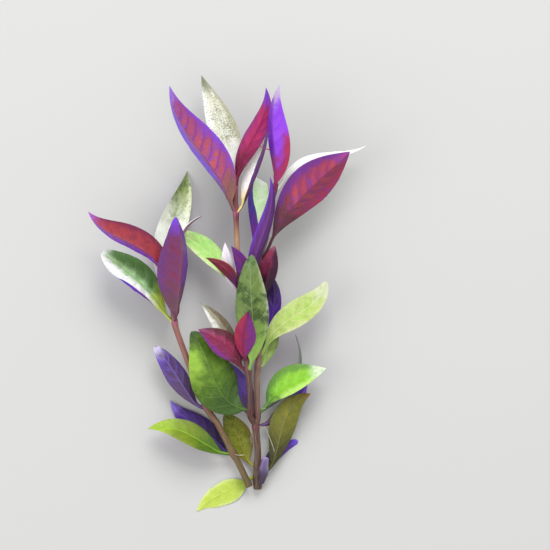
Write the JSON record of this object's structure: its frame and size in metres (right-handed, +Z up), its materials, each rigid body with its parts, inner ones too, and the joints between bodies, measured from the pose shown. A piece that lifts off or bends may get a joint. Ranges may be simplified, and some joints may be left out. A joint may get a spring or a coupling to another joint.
{
  "type": "alternanthera reineckii",
  "caption": "Loose cut bunch of a leafy aquarium plant, lying down: jointed forking stems with opposite lance-shaped leaves, magenta and violet below, green to white above.",
  "frame": {"origin": "on the surface that the bunch lies on, under the middle of its bounding box", "axes": "+X to the right across the bunch, +Y along the stems from their cut ends to their tips, +Z up from the surface"},
  "size_m": [0.1113, 0.1756, 0.0305],
  "materials": {
    "pink_stem": "satin",
    "brown_stem": "satin",
    "red_leaf": "satin",
    "violet_leaf": "satin",
    "green_leaf": "satin",
    "pale_leaf": "satin",
    "yellow_green_leaf": "satin",
    "olive_leaf": "satin"
  },
  "bodies": {
    "root": {"left_stem": "pink_stem", "left_stem_leaf_1": "green_leaf", "left_stem_leaf_2": "violet_leaf", "left_stem_leaf_3": "violet_leaf", "left_stem_leaf_4": "green_leaf", "left_stem_leaf_5": "green_leaf", "left_stem_leaf_6": "red_leaf", "left_stem_leaf_7": "green_leaf", "left_stem_leaf_8": "red_leaf", "left_stem_leaf_9": "pale_leaf", "left_stem_leaf_10": "pale_leaf", "main_stem": "brown_stem", "main_stem_leaf_1": "violet_leaf", "main_stem_leaf_2": "yellow_green_leaf", "main_stem_leaf_3": "olive_leaf", "main_stem_leaf_4": "violet_leaf", "main_stem_leaf_5": "olive_leaf", "main_stem_leaf_6": "violet_leaf", "main_stem_leaf_7": "violet_leaf", "right_branch": "brown_stem", "right_branch_leaf_1": "green_leaf", "right_branch_leaf_2": "pale_leaf", "right_branch_leaf_3": "yellow_green_leaf", "right_branch_leaf_4": "yellow_green_leaf", "right_branch_leaf_5": "violet_leaf", "right_branch_leaf_6": "green_leaf", "right_branch_leaf_7": "violet_leaf", "right_branch_leaf_8": "red_leaf", "right_branch_leaf_9": "pale_leaf", "right_branch_leaf_10": "red_leaf", "right_branch_leaf_11": "green_leaf", "right_branch_leaf_12": "violet_leaf", "right_branch_leaf_13": "pale_leaf", "left_branch": "pink_stem", "left_branch_leaf_1": "green_leaf", "left_branch_leaf_2": "green_leaf", "left_branch_leaf_3": "red_leaf", "left_branch_leaf_4": "red_leaf", "left_branch_leaf_5": "pale_leaf", "left_branch_leaf_6": "red_leaf", "left_branch_leaf_7": "pale_leaf", "left_branch_leaf_8": "violet_leaf", "left_branch_leaf_9": "green_leaf", "left_branch_leaf_10": "red_leaf", "left_branch_leaf_11": "pale_leaf", "left_branch_leaf_12": "green_leaf", "left_branch_leaf_13": "pale_leaf", "left_branch_leaf_14": "red_leaf"}
  },
  "joints": []
}
